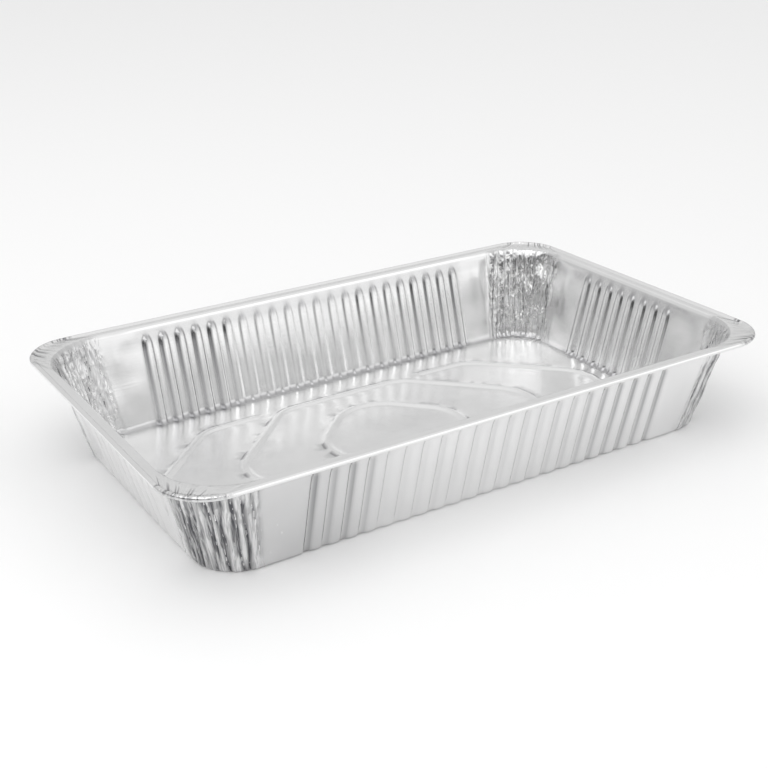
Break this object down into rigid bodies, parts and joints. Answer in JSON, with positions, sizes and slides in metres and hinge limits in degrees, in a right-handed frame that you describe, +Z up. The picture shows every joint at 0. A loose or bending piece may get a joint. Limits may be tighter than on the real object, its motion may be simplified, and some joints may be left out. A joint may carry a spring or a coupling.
{
  "type": "aluminium foil tray",
  "caption": "Large rectangular aluminium foil tray with fluted sloping walls, pleated corners, an embossed base and a flat flange with a rolled bead.",
  "frame": {"origin": "centre of the tray's footprint, at the underside of the base", "axes": "+Z up out of the tray, +X along the long side, +Y along the short side"},
  "size_m": [0.527, 0.325, 0.084],
  "materials": {
    "aluminium_foil": "bright rolled foil, satin"
  },
  "bodies": {
    "root": {"foil_tray": "aluminium_foil"}
  },
  "joints": []
}
